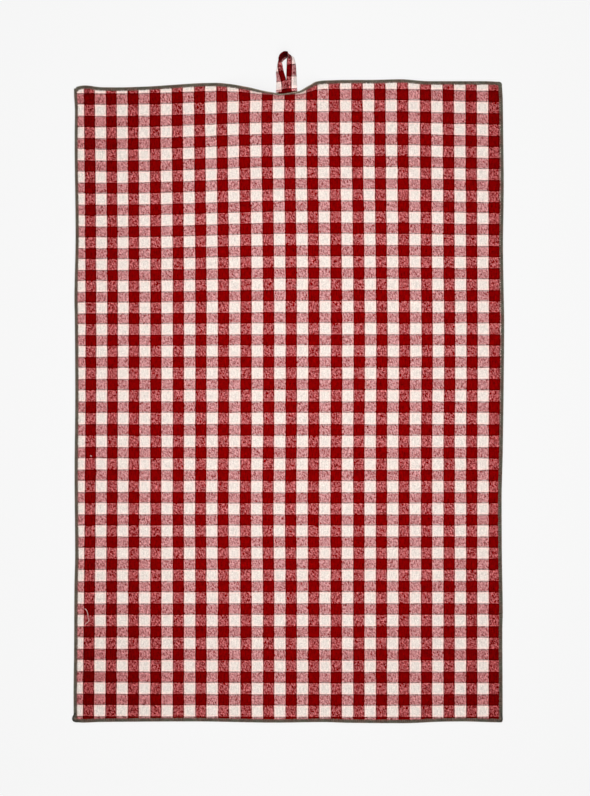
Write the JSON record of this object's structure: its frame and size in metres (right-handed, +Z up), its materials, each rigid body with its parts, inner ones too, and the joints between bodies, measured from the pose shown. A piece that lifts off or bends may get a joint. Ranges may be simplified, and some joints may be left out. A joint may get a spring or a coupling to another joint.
{
  "type": "tea towel",
  "caption": "Flat woven check tea towel with an overlocked edge and a folded cloth hanging loop at the middle of its top edge.",
  "frame": {"origin": "on the surface that the towel lies on, under the middle of the cloth", "axes": "+X across the towel to the right, +Y along it towards the hanging loop, +Z up out of its face"},
  "size_m": [0.4727, 0.737, 0.0171],
  "materials": {
    "gingham_cloth": "matt cotton twill in red and white gingham",
    "edging_thread": "matt olive overlock thread",
    "gingham_strip": "matt cotton twill in red and white gingham"
  },
  "bodies": {
    "root": {"cloth": "gingham_cloth", "edging_left": "edging_thread", "edging_right": "edging_thread", "edging_bottom": "edging_thread", "edging_top": "edging_thread", "hanging_loop": "gingham_strip"}
  },
  "joints": []
}
